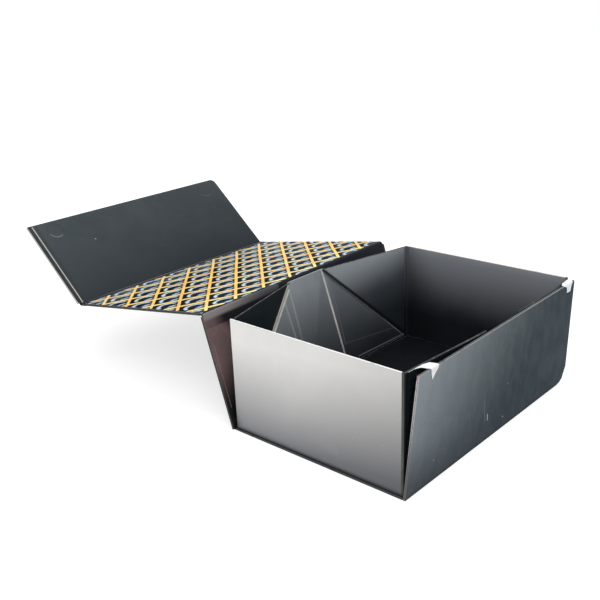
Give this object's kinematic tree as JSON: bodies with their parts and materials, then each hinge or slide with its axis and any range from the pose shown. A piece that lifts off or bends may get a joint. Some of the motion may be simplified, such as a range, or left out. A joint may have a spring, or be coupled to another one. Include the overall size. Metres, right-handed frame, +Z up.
{
  "type": "collapsible gift box",
  "caption": "Fold-flat rigid gift box standing open, with a lattice-lined lid, a magnetic closure flap, creased back gussets and a front panel with untaped ears.",
  "frame": {"origin": "centre of the base board's underside", "axes": "+X along the folds, to the right for a person facing the front panel; +Y from the front panel to the back and the open lid; +Z up"},
  "size_m": [0.255, 0.4689, 0.1371],
  "materials": {
    "cover_board": "matte dark slate paper over greyboard",
    "floor_paper": "matte near-black paper over greyboard",
    "tray_board": "satin silver-grey paper over greyboard",
    "lining_card": "matte dark card",
    "printed_paper": "black with a fine gold lattice",
    "slate_paper": "matte dark slate",
    "magnet": "nickel-plated disc",
    "steel_plate": "thin steel disc",
    "tape": "double-sided tape",
    "release_liner": "white release paper"
  },
  "bodies": {
    "tray": {"base_panel": "cover_board", "floor_panel": "floor_paper", "left_end_wall": "tray_board", "right_end_wall": "tray_board", "left_front_ear": "tray_board", "right_front_ear": "tray_board", "left_tape": "tape", "right_tape": "tape"},
    "back": {"back_panel": "cover_board", "left_back_triangle": "lining_card", "right_back_triangle": "lining_card", "back_centre_panel": "lining_card", "lid_fold_paper": "slate_paper"},
    "left_gusset": {"left_gusset": "lining_card"},
    "right_gusset": {"right_gusset": "lining_card"},
    "lid": {"lid_panel": "cover_board", "lid_lining": "printed_paper", "flap_fold_paper": "slate_paper"},
    "flap": {"closure_flap": "cover_board", "flap_lining": "slate_paper", "left_flap_magnet": "magnet", "right_flap_magnet": "magnet"},
    "front": {"front_panel": "cover_board", "front_lining": "slate_paper", "left_front_plate": "steel_plate", "right_front_plate": "steel_plate", "left_liner_tab": "release_liner", "right_liner_tab": "release_liner"}
  },
  "joints": [
    {"name": "lid_fold", "type": "hinge", "parent": "back", "child": "lid", "pos_m": [0, 0.11799, 0.09947], "axis": [1, 0, 0], "range_deg": [0, 172.8], "deforming": ["lid_fold_paper"]},
    {"name": "flap_fold", "type": "hinge", "parent": "lid", "child": "flap", "pos_m": [0, 0.29547, 0.06945], "axis": [1, 0, 0], "range_deg": [-51.1, 38.9], "deforming": ["flap_fold_paper"]},
    {"name": "back_fold", "type": "hinge", "parent": "tray", "child": "back", "pos_m": [0, 0.089, 0], "axis": [1, 0, 0], "range_deg": [0, 16.8]},
    {"name": "front_fold", "type": "hinge", "parent": "tray", "child": "front", "pos_m": [0, -0.0895, 0], "axis": [1, 0, 0], "range_deg": [-4.2, 0]},
    {"name": "left_gusset_fold", "type": "hinge", "parent": "tray", "child": "left_gusset", "pos_m": [-0.1226, 0.0846, 0], "axis": [0, 0, 1], "range_deg": [-16.39, 0]},
    {"name": "right_gusset_fold", "type": "hinge", "parent": "tray", "child": "right_gusset", "pos_m": [0.1226, 0.0846, 0], "axis": [0, 0, 1], "range_deg": [0, 16.39]}
  ],
  "couplings": [
    {"joint": "back_fold", "follows": "lid_fold", "ratio": 0.097222},
    {"joint": "front_fold", "follows": "lid_fold", "ratio": -0.024306},
    {"joint": "left_gusset_fold", "follows": "lid_fold", "ratio": -0.094865},
    {"joint": "right_gusset_fold", "follows": "lid_fold", "ratio": 0.094865}
  ]
}
